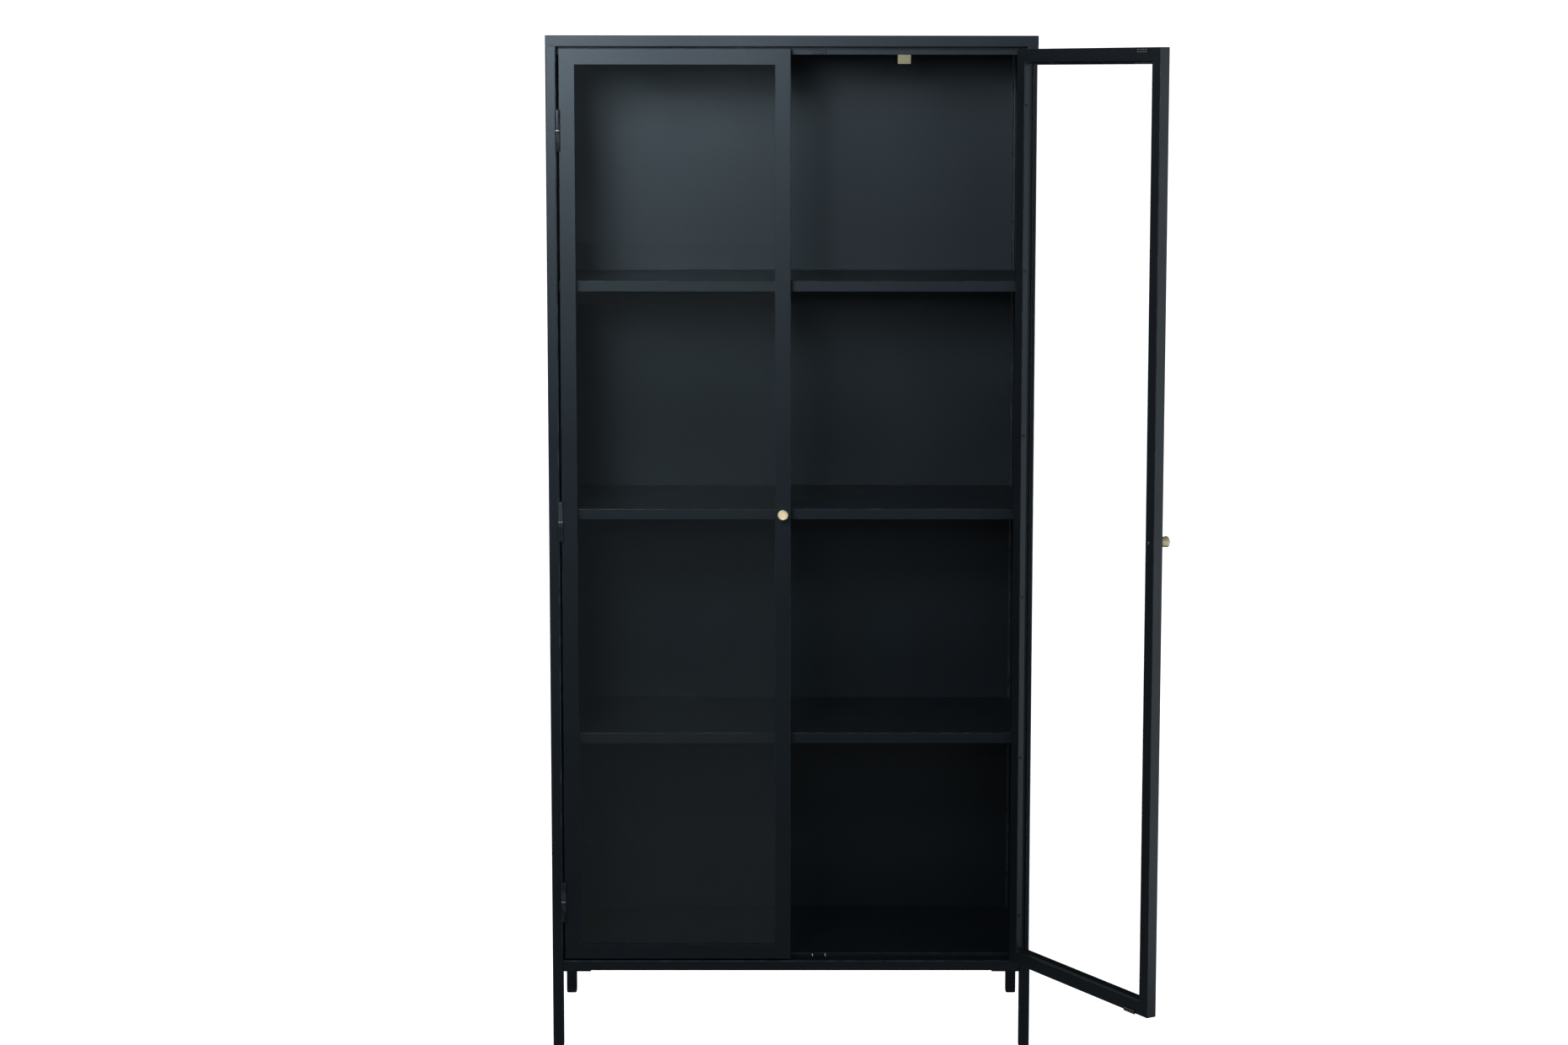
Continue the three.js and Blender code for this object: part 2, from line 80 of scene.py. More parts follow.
# %% [markdown]
# ## Studio
# A dark satin object shows its form only by what it reflects. Two cool softboxes stand in front,
# a little to the left and above, one behind the other. Both are kept narrow, so that the sheen
# is strongest at the top left and fades from bay to bay downwards. Soft fills on the left and
# right light the two sides of the open door, a card on the floor lights its lower end, and a long
# lamp overhead draws the fine bright lines along the folded edges. One warm lamp shines on the
# satin brass knobs alone, so that they can be bright without lifting the dark paint. The floor
# and the surroundings are plain and pale.

# %% Floor, surroundings and lights
def feed(tree, value, socket):
    """Gives an input a plain value or another node's output."""
    if isinstance(value, (int, float, tuple)):
        socket.default_value = value
    else:
        tree.links.new(value, socket)


def tree_node(tree, kind, **settings):
    """A new node with its settings. Keys that name an input feed it a value or an output."""
    node = tree.nodes.new(kind)
    for key, value in settings.items():
        if hasattr(node, key):
            setattr(node, key, value)
        else:
            feed(tree, value, node.inputs[key.replace("_", " ")])
    return node


def maths(tree, operation, *operands):
    """A Math node. Its operands are numbers or sockets."""
    node = tree_node(tree, "ShaderNodeMath", operation=operation)
    for operand, socket in zip(operands, node.inputs):
        feed(tree, operand, socket)
    return node.outputs[0]


def pale_to_camera(tree, strength=1.0):
    """This strength where the eye meets a surface directly or through clear glass, else 0."""
    path = tree_node(tree, "ShaderNodeLightPath").outputs
    either = maths(tree, "MAXIMUM", path["Is Camera Ray"], path["Is Transmission Ray"])
    return maths(tree, "MULTIPLY", either, strength)


PALE = 1.3  # a little past white, so that floor and surroundings meet without a line
world = bpy.data.worlds.new("studio")
bpy.context.scene.world = world
world.use_nodes = True
tree = world.node_tree
tree.nodes.clear()
seen = tree_node(tree, "ShaderNodeBackground", Color=(1, 1, 1, 1), Strength=PALE)
ambient = tree_node(tree, "ShaderNodeBackground", Color=(0.73, 0.88, 1.0, 1), Strength=0.17)
choose = tree_node(tree, "ShaderNodeMixShader")
surround = tree_node(tree, "ShaderNodeOutputWorld")
tree.links.new(pale_to_camera(tree), choose.inputs[0])
tree.links.new(ambient.outputs[0], choose.inputs[1])
tree.links.new(seen.outputs[0], choose.inputs[2])
tree.links.new(choose.outputs[0], surround.inputs[0])

floor_mesh = bpy.data.meshes.new("floor")
corners = [(-30, -30, 0), (30, -30, 0), (30, 30, 0), (-30, 30, 0)]
floor_mesh.from_pydata(corners, [], [(0, 1, 2, 3)])
studio_floor = bpy.data.objects.new("studio_floor", floor_mesh)
bpy.context.scene.collection.objects.link(studio_floor)
pale = bpy.data.materials.new("pale_floor")
pale.use_nodes = True
tree = pale.node_tree
paint = tree.nodes["Principled BSDF"]
paint.inputs["Base Color"].default_value = (0.55, 0.55, 0.55, 1)
paint.inputs["Roughness"].default_value = 0.9
paint.inputs["Specular IOR Level"].default_value = 0.0
paint.inputs["Emission Color"].default_value = (1, 1, 1, 1)
tree.links.new(pale_to_camera(tree, PALE), paint.inputs["Emission Strength"])
floor_mesh.materials.append(pale)


def softbox(name, place, target, size, power, colour, spread=180):
    """A rectangular lamp that faces a target. A small spread, in degrees, keeps its light narrow."""
    lamp = bpy.data.objects.new(name, bpy.data.lights.new(name, "AREA"))
    bpy.context.scene.collection.objects.link(lamp)
    lamp.data.shape = "RECTANGLE"
    lamp.data.size, lamp.data.size_y = size
    lamp.data.energy = power
    lamp.data.color = colour
    lamp.data.spread = math.radians(spread)
    lamp.location = place
    lamp.rotation_euler = (Vector(target) - Vector(place)).to_track_quat("-Z", "Y").to_euler()
    lamp.visible_camera = False
    lamp.visible_transmission = False
    return lamp


COOL = (0.71, 0.865, 1.0)
NEUTRAL = (0.84, 0.93, 1.0)
WARM = (1.0, 0.88, 0.80)
softbox("far_key", (-0.85, -5.0, 2.35), (-0.4, 0, 2.1), (1.1, 0.9), 2.2, COOL, 45)
softbox("near_key", (-0.9, -2.8, 2.5), (-0.4, 0, 2.1), (0.9, 0.7), 8.4, COOL, 80)
softbox("left_fill", (-3.2, -1.2, 1.2), (0.6, -0.4, 0.9), (1.6, 2.4), 9, WARM)
softbox("right_fill", (3.2, -1.6, 1.2), (0.6, -0.4, 0.9), (1.6, 2.4), 15, NEUTRAL)
softbox("overhead", (0, -1.6, 3.6), (0, -0.2, 0.6), (2.6, 0.8), 3, COOL)
softbox("floor_card", (2.0, -1.1, 0.03), (2.0, -1.1, 2.0), (1.6, 1.2), 6, NEUTRAL)
brass_light = softbox("brass_light", (0, -5.5, 1.4), (0, 0, 1.0), (1.5, 1.5), 42, (1.0, 0.86, 0.70))
bpy.context.scene.view_settings.view_transform = "Standard"

# %% [markdown]
# ## Effects that several finishes share
# Powder coat, worn edges, settled dust and brushed metal each come back in more than one
# material. Each is a node group with named inputs, built once and placed with its own values.
# They could be copied node by node into every material, but then a change would have to be
# made in each copy.

# %% Group builder
def group(name, inputs, outputs):
    """An empty shader group. inputs are (name, kind, value) and outputs are (name, kind)."""
    tree = bpy.data.node_groups.new(name, "ShaderNodeTree")
    for label, kind, value in inputs:
        socket = tree.interface.new_socket(label, in_out="INPUT", socket_type="NodeSocket" + kind)
        socket.default_value = value
    for label, kind in outputs:
        tree.interface.new_socket(label, in_out="OUTPUT", socket_type="NodeSocket" + kind)
    return tree, tree.nodes.new("NodeGroupInput").outputs, tree.nodes.new("NodeGroupOutput").inputs


def object_noise(tree, size, detail=2.0, seed=(0, 0, 0)):
    """Noise on the piece's own coordinates, with features about size metres across."""
    place = tree_node(tree, "ShaderNodeTexCoord").outputs["Object"]
    shift = tree_node(tree, "ShaderNodeMapping", Vector=place, Location=seed)
    noise = tree_node(tree, "ShaderNodeTexNoise", Vector=shift.outputs[0], Detail=detail,
                      Scale=maths(tree, "DIVIDE", 1.0, size))
    return noise.outputs["Fac"]


def remap(tree, value, low, high, to_low=0.0, to_high=1.0):
    """The value stretched from one range to another and held inside it."""
    node = tree_node(tree, "ShaderNodeMapRange", Value=value, From_Min=low, From_Max=high,
                     To_Min=to_low, To_Max=to_high)
    return node.outputs["Result"]


def blend_colour(tree, mask, first, second, mode="MIX"):
    """A colour mix. The colours are tuples or sockets."""
    node = tree_node(tree, "ShaderNodeMix", data_type="RGBA", blend_type=mode, Factor=mask)
    for key, colour in ((6, first), (7, second)):
        feed(tree, colour, node.inputs[key])
    return node.outputs[2]


# %% Powder coat, worn edges, dust and brushing
tree, given, out = group(
    "powder_coat",
    [("Paint", "Color", (0.02, 0.02, 0.02, 1)), ("Gloss", "Float", 0.5), ("Peel Size", "Float", 0.003),
     ("Mottle", "Float", 0.1)],
    [("Colour", "Color"), ("Roughness", "Float"), ("Height", "Float")],
)
clouds = object_noise(tree, 0.16, 3.0)
flecks = object_noise(tree, 0.0007, 1.0, (3, 1, 2))
peel = object_noise(tree, given["Peel Size"], 2.0, (7, 5, 1))
shade = maths(tree, "MULTIPLY_ADD", maths(tree, "SUBTRACT", clouds, 0.5), given["Mottle"], 1.0)
grit = remap(tree, flecks, 0.35, 0.65, 0.9, 1.1)
tone = tree_node(tree, "ShaderNodeVectorMath", operation="SCALE", Vector=given["Paint"],
                 Scale=maths(tree, "MULTIPLY", shade, grit))
tree.links.new(tone.outputs[0], out["Colour"])
sheen = maths(tree, "ADD", given["Gloss"], remap(tree, clouds, 0.3, 0.7, -0.03, 0.03))
tree.links.new(sheen, out["Roughness"])
tree.links.new(maths(tree, "ADD", peel, maths(tree, "MULTIPLY", flecks, 0.25)), out["Height"])

tree, given, out = group("worn_edges", [("Amount", "Float", 0.5)], [("Mask", "Float")])
edge = tree_node(tree, "ShaderNodeAttribute", attribute_name="edge")
rub = remap(tree, object_noise(tree, 0.02, 4.0), 0.45, 0.62)
tree.links.new(maths(tree, "MULTIPLY", maths(tree, "MULTIPLY", edge.outputs["Fac"], rub), given["Amount"]),
               out["Mask"])

tree, given, out = group("settled_dust", [("Amount", "Float", 0.3)], [("Mask", "Float")])
facing = tree_node(tree, "ShaderNodeNewGeometry").outputs["Normal"]
lie = tree_node(tree, "ShaderNodeSeparateXYZ", Vector=facing)
flat = remap(tree, lie.outputs["Z"], 0.6, 1.0)
motes = remap(tree, object_noise(tree, 0.004, 5.0, (1, 8, 3)), 0.35, 0.8)
drift = remap(tree, object_noise(tree, 0.2, 2.0, (4, 2, 9)), 0.3, 0.7)
film = maths(tree, "MULTIPLY", maths(tree, "MULTIPLY", motes, drift), flat)
tree.links.new(maths(tree, "MULTIPLY", film, given["Amount"]), out["Mask"])

tree, given, out = group(
    "brushed_lines",
    [("Across", "Float", 900.0), ("Along", "Float", 20.0)],
    [("Value", "Float"), ("Height", "Float")],
)
laid = tree_node(tree, "ShaderNodeUVMap", uv_map="surface")
stretch = tree_node(tree, "ShaderNodeCombineXYZ", X=given["Along"], Y=given["Across"])
grain = tree_node(tree, "ShaderNodeVectorMath", operation="MULTIPLY", Vector=laid.outputs[0])
tree.links.new(stretch.outputs[0], grain.inputs[1])
lines = tree_node(tree, "ShaderNodeTexNoise", Detail=3.0, Scale=1.0, Vector=grain.outputs[0])
tree.links.new(remap(tree, lines.outputs["Fac"], 0.3, 0.7), out["Value"])
tree.links.new(lines.outputs["Fac"], out["Height"])
print("groups", sorted(g.name for g in bpy.data.node_groups))

# %% [markdown]
# ## Powder-coated steel
# The frame, panels, doors and hinges are all coated in the same blue-black satin powder. Baked
# powder is slightly dimpled, like orange peel, with fine grit in it, and it rubs paler along
# edges. The four finishes share one recipe: the panels are a little duller, and the hinges, which
# are coated on a machined surface, are a little glossier.

# %% Coated finishes
PAINT = (0.0105, 0.0150, 0.0195, 1)
BARE_EDGE = (0.10, 0.11, 0.12, 1)
DUST = (0.30, 0.29, 0.27, 1)


def shared(tree, name, **values):
    """A shared group placed in a material, with its own values."""
    node = tree.nodes.new("ShaderNodeGroup")
    node.node_tree = bpy.data.node_groups[name]
    for key, value in values.items():
        node.inputs[key.replace("_", " ")].default_value = value
    return node.outputs


def blank_finish(name, **plain):
    """A material whose Principled shader has these plain values."""
    material = bpy.data.materials.new(name)
    material.use_nodes = True
    shader = material.node_tree.nodes["Principled BSDF"]
    for key, value in plain.items():
        shader.inputs[key.replace("_", " ")].default_value = value
    return material, material.node_tree, shader.inputs


def roughen(tree, height, distance, surface):
    """Feeds a height to the shader's normal."""
    bump = tree_node(tree, "ShaderNodeBump", Distance=distance, Strength=1.0, Height=height)
    tree.links.new(bump.outputs[0], surface["Normal"])


def coated(name, gloss, peel_size, peel_depth, mottle, wear, dust):
    """A powder-coated finish: coat, rubbed edges and a film of dust."""
    material, tree, surface = blank_finish(name, Specular_IOR_Level=0.5)
    coat = shared(tree, "powder_coat", Paint=PAINT, Gloss=gloss, Peel_Size=peel_size, Mottle=mottle)
    rubbed = shared(tree, "worn_edges", Amount=wear)["Mask"]
    film = shared(tree, "settled_dust", Amount=dust)["Mask"]
    colour = blend_colour(tree, rubbed, coat["Colour"], BARE_EDGE)
    tree.links.new(blend_colour(tree, film, colour, DUST), surface["Base Color"])
    dull = maths(tree, "MULTIPLY_ADD", film, 0.35, coat["Roughness"])
    tree.links.new(maths(tree, "MULTIPLY_ADD", rubbed, -0.12, dull), surface["Roughness"])
    roughen(tree, coat["Height"], peel_depth, surface)
    return material


frame_paint = coated("frame_paint", 0.38, 0.0012, 0.000012, 0.25, 0.35, 0.02)
panel_paint = coated("panel_paint", 0.40, 0.0014, 0.000012, 0.30, 0.30, 0.03)
door_paint = coated("door_paint", 0.38, 0.0012, 0.000012, 0.25, 0.35, 0.02)
hinge_paint = coated("hinge_paint", 0.34, 0.0010, 0.000010, 0.20, 0.50, 0.02)
print("coated finishes", [m.name for m in (frame_paint, panel_paint, door_paint, hinge_paint)])

# %% [markdown]
# ## Metals, rubber, plastic and glass
# The knobs are turned brass, so their fine lines run round them, and the tag and strikes are
# brushed straight. Both read a map that each piece carries, because a pattern on plain
# coordinates couldn't turn with a knob. The panes are clear float glass. Lamps must shine
# through them into the case, so shadow and bounce rays pass straight through and only the eye
# sees the glass.

# %% Metals
def brushed(name, colour, dark, gloss, across, along, depth):
    """Bare metal with fine lines along the piece's surface map."""
    material, tree, surface = blank_finish(name, Metallic=1.0)
    lines = shared(tree, "brushed_lines", Across=across, Along=along)
    tarnish = remap(tree, object_noise(tree, 0.006, 3.0), 0.35, 0.75)
    dark = (*dark, 1)
    tone = blend_colour(tree, lines["Value"], dark, (*colour, 1))
    tree.links.new(blend_colour(tree, maths(tree, "MULTIPLY", tarnish, 0.35), tone, dark),
                   surface["Base Color"])
    tree.links.new(remap(tree, lines["Value"], 0.0, 1.0, gloss + 0.08, gloss - 0.04), surface["Roughness"])
    roughen(tree, lines["Height"], depth, surface)
    return material


brass = brushed("brass", (0.99, 0.86, 0.60), (0.93, 0.78, 0.51), 0.46, 5000, 0, 0.000003)
# The tag's brass is a copy of the knobs' brass made far darker, so that it stays dim under the key lamps:
# painted shade in its colour.
tag_brass = brushed("tag_brass", (0.40, 0.32, 0.19), (0.31, 0.245, 0.14), 0.44, 3500, 60, 0.000004)
bright_steel = brushed("bright_steel", (0.88, 0.89, 0.90), (0.66, 0.67, 0.69), 0.34, 6000, 0, 0.000003)
dark_steel = brushed("dark_steel", (0.10, 0.105, 0.11), (0.05, 0.052, 0.055), 0.38, 3000, 80, 0.00001)
screw_steel = brushed("screw_steel", (0.30, 0.31, 0.32), (0.16, 0.165, 0.17), 0.35, 3000, 300, 0.00001)
pole_steel = brushed("pole_steel", (0.085, 0.09, 0.095), (0.05, 0.052, 0.055), 0.42, 3000, 80, 0.000002)
print("metals", [m.name for m in (brass, tag_brass, bright_steel, dark_steel, screw_steel, pole_steel)])

# %% Rubber, plastic and glass
def moulded(name, colour, gloss, grain, depth):
    """A moulded finish with a fine matt grain."""
    material, tree, surface = blank_finish(name, Specular_IOR_Level=0.4)
    coat = shared(tree, "powder_coat", Paint=colour, Gloss=gloss, Peel_Size=grain, Mottle=0.4)
    film = shared(tree, "settled_dust", Amount=0.15)["Mask"]
    tree.links.new(blend_colour(tree, film, coat["Colour"], DUST), surface["Base Color"])
    tree.links.new(coat["Roughness"], surface["Roughness"])
    roughen(tree, coat["Height"], depth, surface)
    return material


foot_rubber = moulded("foot_rubber", (0.022, 0.022, 0.024, 1), 0.50, 0.0009, 0.0004)
seal_rubber = moulded("seal_rubber", (0.010, 0.010, 0.011, 1), 0.55, 0.0020, 0.00006)
catch_plastic = moulded("catch_plastic", (0.012, 0.012, 0.013, 1), 0.45, 0.0008, 0.00004)


def clear_glass(name, colour, gloss):
    """Glass that the eye sees and that lamps shine through."""
    material, tree, surface = blank_finish(name, Base_Color=colour, Transmission_Weight=1.0, IOR=1.5)
    wipes = remap(tree, object_noise(tree, 0.09, 5.0, (2, 2, 5)), 0.45, 0.8, gloss, gloss + 0.03)
    tree.links.new(wipes, surface["Roughness"])
    path = tree_node(tree, "ShaderNodeLightPath").outputs
    lit = maths(tree, "MAXIMUM", path["Is Shadow Ray"], path["Is Diffuse Ray"])
    # A ray that was bent on its way in has to be bent back on its way out, so it stays with the glass.
    mirrored = maths(tree, "SUBTRACT", path["Is Glossy Ray"], path["Is Transmission Ray"])
    clear = tree_node(tree, "ShaderNodeBsdfTransparent", Color=(0.92, 0.94, 0.93, 1))
    either = tree.nodes.new("ShaderNodeMixShader")
    tree.links.new(maths(tree, "MAXIMUM", lit, mirrored), either.inputs[0])
    tree.links.new(tree.nodes["Principled BSDF"].outputs[0], either.inputs[1])
    tree.links.new(clear.outputs[0], either.inputs[2])
    tree.links.new(either.outputs[0], tree.nodes["Material Output"].inputs["Surface"])
    return material


pane_glass = clear_glass("pane_glass", (0.98, 0.985, 0.99, 1), 0.0)
edge_glass = clear_glass("edge_glass", (0.45, 0.72, 0.62, 1), 0.15)
print("finishes", len(bpy.data.materials))

# %% [markdown]
# ## Building shapes
# Nearly every piece here is a section carried along a line or round a loop. One helper covers
# them all: it takes rings of points with the same count and skins them. A square tube is four
# rings joined into a closed loop, a door frame is one ring for each point of its section, and a
# turned piece is a stack of circles. Extruding and bevelling each piece would also work, but the
# rounded corners would then be left to chance.

# %% Rings and skins
def rounded(outline, radii, steps=4):
    """A closed flat outline with each corner rounded to its radius."""
    points = []
    for i, (corner, radius) in enumerate(zip(outline, radii)):
        corner = Vector(corner)
        if not radius:
            points.append(corner)
            continue
        back = (Vector(outline[i - 1]) - corner).normalized()
        on = (Vector(outline[(i + 1) % len(outline)]) - corner).normalized()
        half = back.angle(on) / 2
        centre = corner + (back + on).normalized() * (radius / math.sin(half))
        start = corner + back * (radius / math.tan(half)) - centre
        end = corner + on * (radius / math.tan(half)) - centre
        for k in range(steps + 1):
            arm = start.slerp(end, k / steps) if start.length else start
            points.append(centre + arm.normalized() * radius)
    return points


def skin(rings, loop=True):
    """A closed surface through rings of points. Without loop, the two ends are capped."""
    bm = bmesh.new()
    made = [[bm.verts.new(point) for point in ring] for ring in rings]
    pairs = list(zip(made, made[1:] + made[:1])) if loop else list(zip(made, made[1:]))
    for low, high in pairs:
        for k in range(len(low)):
            j = (k + 1) % len(low)
            bm.faces.new((low[k], low[j], high[j], high[k]))
    if not loop:
        bm.faces.new(made[0])
        bm.faces.new(made[-1])
    bmesh.ops.recalc_face_normals(bm, faces=bm.faces[:])
    return bm


def along(axis, flat, distance):
    """A point from its place in a section and its distance along an axis."""
    point = list(flat)
    point.insert(axis, distance)
    return Vector(point)


def rectangle(low, high):
    return [(low[0], low[1]), (high[0], low[1]), (high[0], high[1]), (low[0], high[1])]


def square_tube(low, high, axis, radius=2.6 * MM, wall=1.2 * MM):
    """A hollow tube with rounded corners that fills a box and runs along one axis."""
    across = [a for a in range(3) if a != axis]
    a, b = [low[k] for k in across], [high[k] for k in across]
    inset = [[v + wall for v in a], [v - wall for v in b]]
    outer = rounded(rectangle(a, b), [radius] * 4)
    bore = rounded(rectangle(*inset), [radius - wall] * 4)
    ends = low[axis], high[axis]
    return skin([[along(axis, p, end) for p in ring] for ring, end in
                 ((outer, ends[0]), (outer, ends[1]), (bore, ends[1]), (bore, ends[0]))])


TURN_STEPS = 48


def turned(profile, steps=TURN_STEPS, centre=(0, 0), axis=2):
    """A turned piece from its [radius, height] profile, capped at both ends."""
    turns = [2 * math.pi * k / steps for k in range(steps)]
    return skin([[along(axis, (centre[0] + r * math.cos(t), centre[1] + r * math.sin(t)), h)
                  for t in turns] for r, h in profile], loop=False)


# %% Merging, softening and cutting
WELD_GAP = 0.002 * MM  # points closer than this are one point


def merged_copy(node):
    """A CAD node's shape with its loose triangles joined and its flat faces made whole."""
    bm = bmesh.new()
    bm.from_mesh(frame["nodes"][node].data)
    bmesh.ops.remove_doubles(bm, verts=bm.verts[:], dist=WELD_GAP)
    bmesh.ops.dissolve_limit(bm, angle_limit=math.radians(1), verts=bm.verts[:], edges=bm.edges[:])
    return bm


def soften(bm, radius, steps, picked=lambda middle: True):
    """Rounds the sharp edges whose middles are picked."""
    sharp = [e for e in bm.edges if len(e.link_faces) == 2
             and e.calc_face_angle() > math.radians(40)
             and picked((e.verts[0].co + e.verts[1].co) / 2)]
    bmesh.ops.bevel(bm, geom=sharp, offset=radius, segments=steps, profile=0.5, affect="EDGES",
                    clamp_overlap=True, offset_type="OFFSET")
    return bm


def folded(node, radius, burr=0.25 * MM):
    """Sheet metal: wide folds round the outside of the top face, and dressed edges elsewhere."""
    low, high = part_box(node)
    reach = 0.02 * MM
    bm = merged_copy(node)
    soften(bm, radius, 4, lambda m: m.z > high.z - reach)
    return soften(bm, burr, 2, lambda m: m.z < high.z - radius - reach)


def carve(bm, cutter):
    """Cuts one shape out of another."""
    host, tool = bpy.data.meshes.new("host"), bpy.data.meshes.new("tool")
    bm.to_mesh(host)
    cutter.to_mesh(tool)
    objects = [bpy.data.objects.new(mesh.name, mesh) for mesh in (host, tool)]
    for thing in objects:
        bpy.context.scene.collection.objects.link(thing)
    cut = objects[0].modifiers.new("cut", "BOOLEAN")
    cut.operation, cut.solver, cut.object = "DIFFERENCE", "EXACT", objects[1]
    done = bpy.data.meshes.new_from_object(objects[0].evaluated_get(bpy.context.evaluated_depsgraph_get()))
    bm.clear()
    bm.from_mesh(done)
    bmesh.ops.remove_doubles(bm, verts=bm.verts[:], dist=WELD_GAP)
    for thing in objects:
        bpy.data.objects.remove(thing)
    for mesh in (host, tool, done):
        bpy.data.meshes.remove(mesh)
    return bm


# %% Shading and placing a piece
def crisp_normals(mesh, turn, worn):
    """Keeps flat faces flat and lets rounded strips flow into them. Marks the strips as edges."""
    back = turn.inverted()
    straight = [max(abs(v) for v in back @ face.normal) > 0.99999 for face in mesh.polygons]
    around = [[] for _ in mesh.vertices]
    for face in mesh.polygons:
        for v in face.vertices:
            around[v].append(face.index)
    limit = math.cos(math.radians(42))
    normals = []
    for face in mesh.polygons:
        for v in face.vertices:
            near = [n for n in around[v] if mesh.polygons[n].normal.dot(face.normal) > limit]
            flat = [n for n in near if straight[n]]
            if straight[face.index] or not near:
                normals.append(face.normal.copy())
            elif flat:
                normals.append(max((mesh.polygons[n].normal for n in flat), key=face.normal.dot).copy())
            else:
                normals.append(sum((mesh.polygons[n].normal for n in near), Vector()).normalized())
    mark = mesh.attributes.new("edge", "FLOAT", "FACE")
    mark.data.foreach_set("value", [float(worn and not s) for s in straight])
    mesh.polygons.foreach_set("use_smooth", [True] * len(mesh.polygons))
    mesh.normals_split_custom_set(normals)


def place(name, body, bm, finishes, slot, stands_for=(), hang=Matrix.Identity(4), worn=True, lay=None):
    """Makes a finished piece from a shape and lets it ride on its body."""
    if lay:
        sheet = bm.loops.layers.uv.new("surface")
        for face in bm.faces:
            for corner in face.loops:
                corner[sheet].uv = lay(corner.vert.co)
    bm.transform(hang)
    if hang.determinant() < 0:
        bmesh.ops.reverse_faces(bm, faces=bm.faces[:])
    bm.normal_update()
    mesh = bpy.data.meshes.new(name)
    bm.to_mesh(mesh)
    bm.free()
    for material in finishes if isinstance(finishes, list) else [finishes]:
        mesh.materials.append(material)
    crisp_normals(mesh, hang.to_3x3(), worn)
    piece = bpy.data.objects.new(name, mesh)
    bpy.context.scene.collection.objects.link(piece)
    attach(piece, body)
    if stands_for:
        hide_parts(*stands_for)
    return piece


print("helpers ready")

# %% [markdown]
# ## Frame: posts, rails, feet and corner plates
# The frame is 20 mm square tube. Real tube is rolled, so its corners are rounded, here by
# 2.6 mm, and that radius carries the fine bright line down each post and along the rail.
# The front posts are scooped out where the hinge barrels sit against them.

# %% Posts and rails
hinge_boxes = {}
for place_name in ("top", "middle", "bottom"):
    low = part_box(f"hinge_lower_{place_name}_left")[0]
    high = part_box(f"left_hinge_upper_{place_name}")[1]
    hinge_boxes[place_name] = (low.z, high.z)
barrel_length = hinge_boxes["top"][1] - hinge_boxes["top"][0]
barrel_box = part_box("left_hinge_upper_top")
barrel_radius = (barrel_box[1].x - barrel_box[0].x) / 2
collar_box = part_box("hinge_lower_top_left")
collar_radius = (collar_box[1].x - collar_box[0].x) / 2
FIT = 0.3 * MM
seat_radius = collar_radius + FIT
joints = {j["name"]: j for j in frame["joints"]}
axis_left = Vector(joints["left_door_hinge"]["pos_m"])
axis_right = Vector(joints["right_door_hinge"]["pos_m"])


def hinge_seats(x, y):
    """The three scoops that the barrels sit in, as one shape."""
    seats = bmesh.new()
    for low, high in hinge_boxes.values():
        seat = turned([(seat_radius, low - FIT), (seat_radius, high + FIT)], 64, (x, y))
        mesh = bpy.data.meshes.new("seat")
        seat.to_mesh(mesh)
        seat.free()
        seats.from_mesh(mesh)
        bpy.data.meshes.remove(mesh)
    return seats


for side, hinge_axis in (("left", axis_left), ("right", axis_right)):
    for end in ("front", "rear"):
        node = f"post_{end}_{side}"
        bm = square_tube(*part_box(node), 2)
        if end == "front":
            bm = carve(bm, hinge_seats(hinge_axis.x, hinge_axis.y))
        place(f"{side}_{end}_post", "carcass", bm, frame_paint, "frame_paint", [node])
for end, axis in (("front", 0), ("rear", 0), ("left", 1), ("right", 1)):
    node = f"bottom_rail_{end}"
    bm = square_tube(*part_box(node), axis)
    place(f"{end}_bottom_rail", "carcass", bm, frame_paint, "frame_paint", [node])

# %% Rubber feet and corner plates
PLUG_FROM_WALL = 1.5 * MM
for end in ("front", "rear"):
    for side in ("left", "right"):
        node = f"foot_{end}_{side}"
        low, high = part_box(node)
        middle = (low + high) / 2
        half = (high.x - low.x) / 2
        pad_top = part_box(f"post_{end}_{side}")[0].z - FIT
        stack = [(half - inward * MM, up * MM) for inward, up in (
            (3.2, 0), (1.9, 0.25), (0.9, 1.0), (0.35, 2.1), (0.2, 3.4))]
        stack += [(half, pad_top - 0.4 * MM), (half - 0.3 * MM, pad_top), (half - PLUG_FROM_WALL, pad_top)]
        for rib in range(3):
            base = pad_top + (2.5 + 4 * rib) * MM
            stack += [(half - 2.2 * MM, base), (half - PLUG_FROM_WALL, base + 1.6 * MM)]
        stack.append((half - 3 * MM, high.z))
        rings = []
        for reach, z in stack:
            outline = rectangle((middle.x - reach, middle.y - reach), (middle.x + reach, middle.y + reach))
            rings.append([Vector((p[0], p[1], z)) for p in rounded(outline, [2.0 * MM] * 4)])
        place(f"{side}_{end}_foot", "carcass", skin(rings, loop=False), foot_rubber, "foot_rubber", [node],
              worn=False)
        plate = f"corner_plate_{end}_{side}"
        bm = soften(merged_copy(plate), 0.3 * MM, 2)
        place(f"{side}_{end}_corner_plate", "carcass", bm, frame_paint, "frame_paint", [plate])

# %% [markdown]
# ## Sheet metal: top, walls, floor pan, stop strip and shelves
# These are folded from 1 mm sheet. A fold can't be sharp: its outside radius is 1.5 to 2.2 mm
# here, and cut edges are only dressed. Each piece is a merged copy of its CAD node
# with its folds rounded wide and its other edges rounded finely.

# %% Panels and shelves
panels = {"top_panel": 1.5, "floor_pan": 2.2, "shelf_upper": 2.2, "shelf_middle": 2.2, "shelf_lower": 2.2}
for node, radius in panels.items():
    place(f"{node}_folded", "carcass", folded(node, radius * MM), panel_paint, "panel_paint", [node])
for node in ("side_panel_left", "side_panel_right", "back_panel", "door_stop_strip"):
    bm = soften(merged_copy(node), 0.25 * MM, 2)
    place(f"{node}_sheet", "carcass", bm, panel_paint, "panel_paint", [node])

